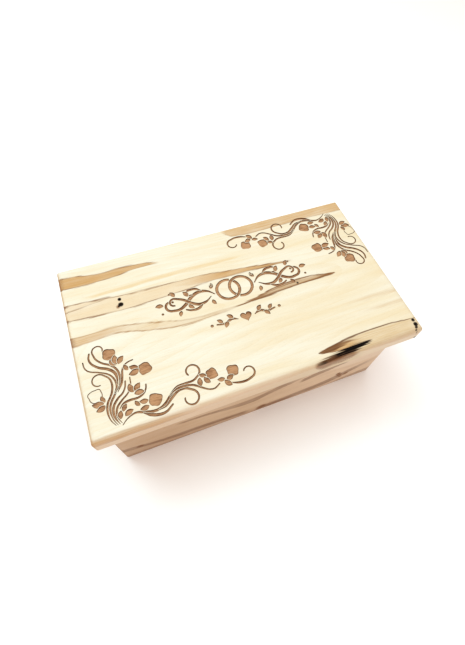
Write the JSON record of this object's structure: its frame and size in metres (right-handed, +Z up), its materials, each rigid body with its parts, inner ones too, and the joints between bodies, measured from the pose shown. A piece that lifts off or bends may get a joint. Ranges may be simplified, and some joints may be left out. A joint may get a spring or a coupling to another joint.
{
  "type": "wedding card box",
  "caption": "Low rectangular maple box for wedding cards, with a thick overhanging rounded-over lid that lifts on brass butt hinges at the back.",
  "frame": {"origin": "middle of the footprint, hinge barrels included, on the surface the box stands on, lid closed", "axes": "+X along the length to the box's right as seen from the front, +Y from the front to the hinged back, +Z up"},
  "size_m": [0.305, 0.178, 0.12],
  "materials": {
    "lid_maple": "satin lacquer over cream maple with tan streaks, laser-engraved brown",
    "wall_maple": "satin lacquer over cream and tan streaked maple",
    "panel_maple": "sanded, thin lacquer",
    "hinge_brass": "satin brass",
    "pin_brass": "satin brass",
    "screw_brass": "polished brass"
  },
  "bodies": {
    "box": {"front_wall": "wall_maple", "back_wall": "wall_maple", "left_wall": "wall_maple", "right_wall": "wall_maple", "bottom_panel": "panel_maple", "left_hinge_body_leaf": "hinge_brass", "right_hinge_body_leaf": "hinge_brass", "left_hinge_pin": "pin_brass", "right_hinge_pin": "pin_brass", "left_wall_screw_1": "screw_brass", "left_wall_screw_2": "screw_brass", "left_wall_screw_3": "screw_brass", "right_wall_screw_1": "screw_brass", "right_wall_screw_2": "screw_brass", "right_wall_screw_3": "screw_brass"},
    "lid": {"lid_board": "lid_maple", "left_hinge_lid_leaf": "hinge_brass", "right_hinge_lid_leaf": "hinge_brass", "left_lid_screw_1": "screw_brass", "left_lid_screw_2": "screw_brass", "left_lid_screw_3": "screw_brass", "right_lid_screw_1": "screw_brass", "right_lid_screw_2": "screw_brass", "right_lid_screw_3": "screw_brass"}
  },
  "joints": [
    {"name": "lid_hinge", "type": "hinge", "parent": "box", "child": "lid", "pos_m": [0, 0.0867, 0.10085], "axis": [-1, 0, 0], "range_deg": [0, 95]}
  ]
}
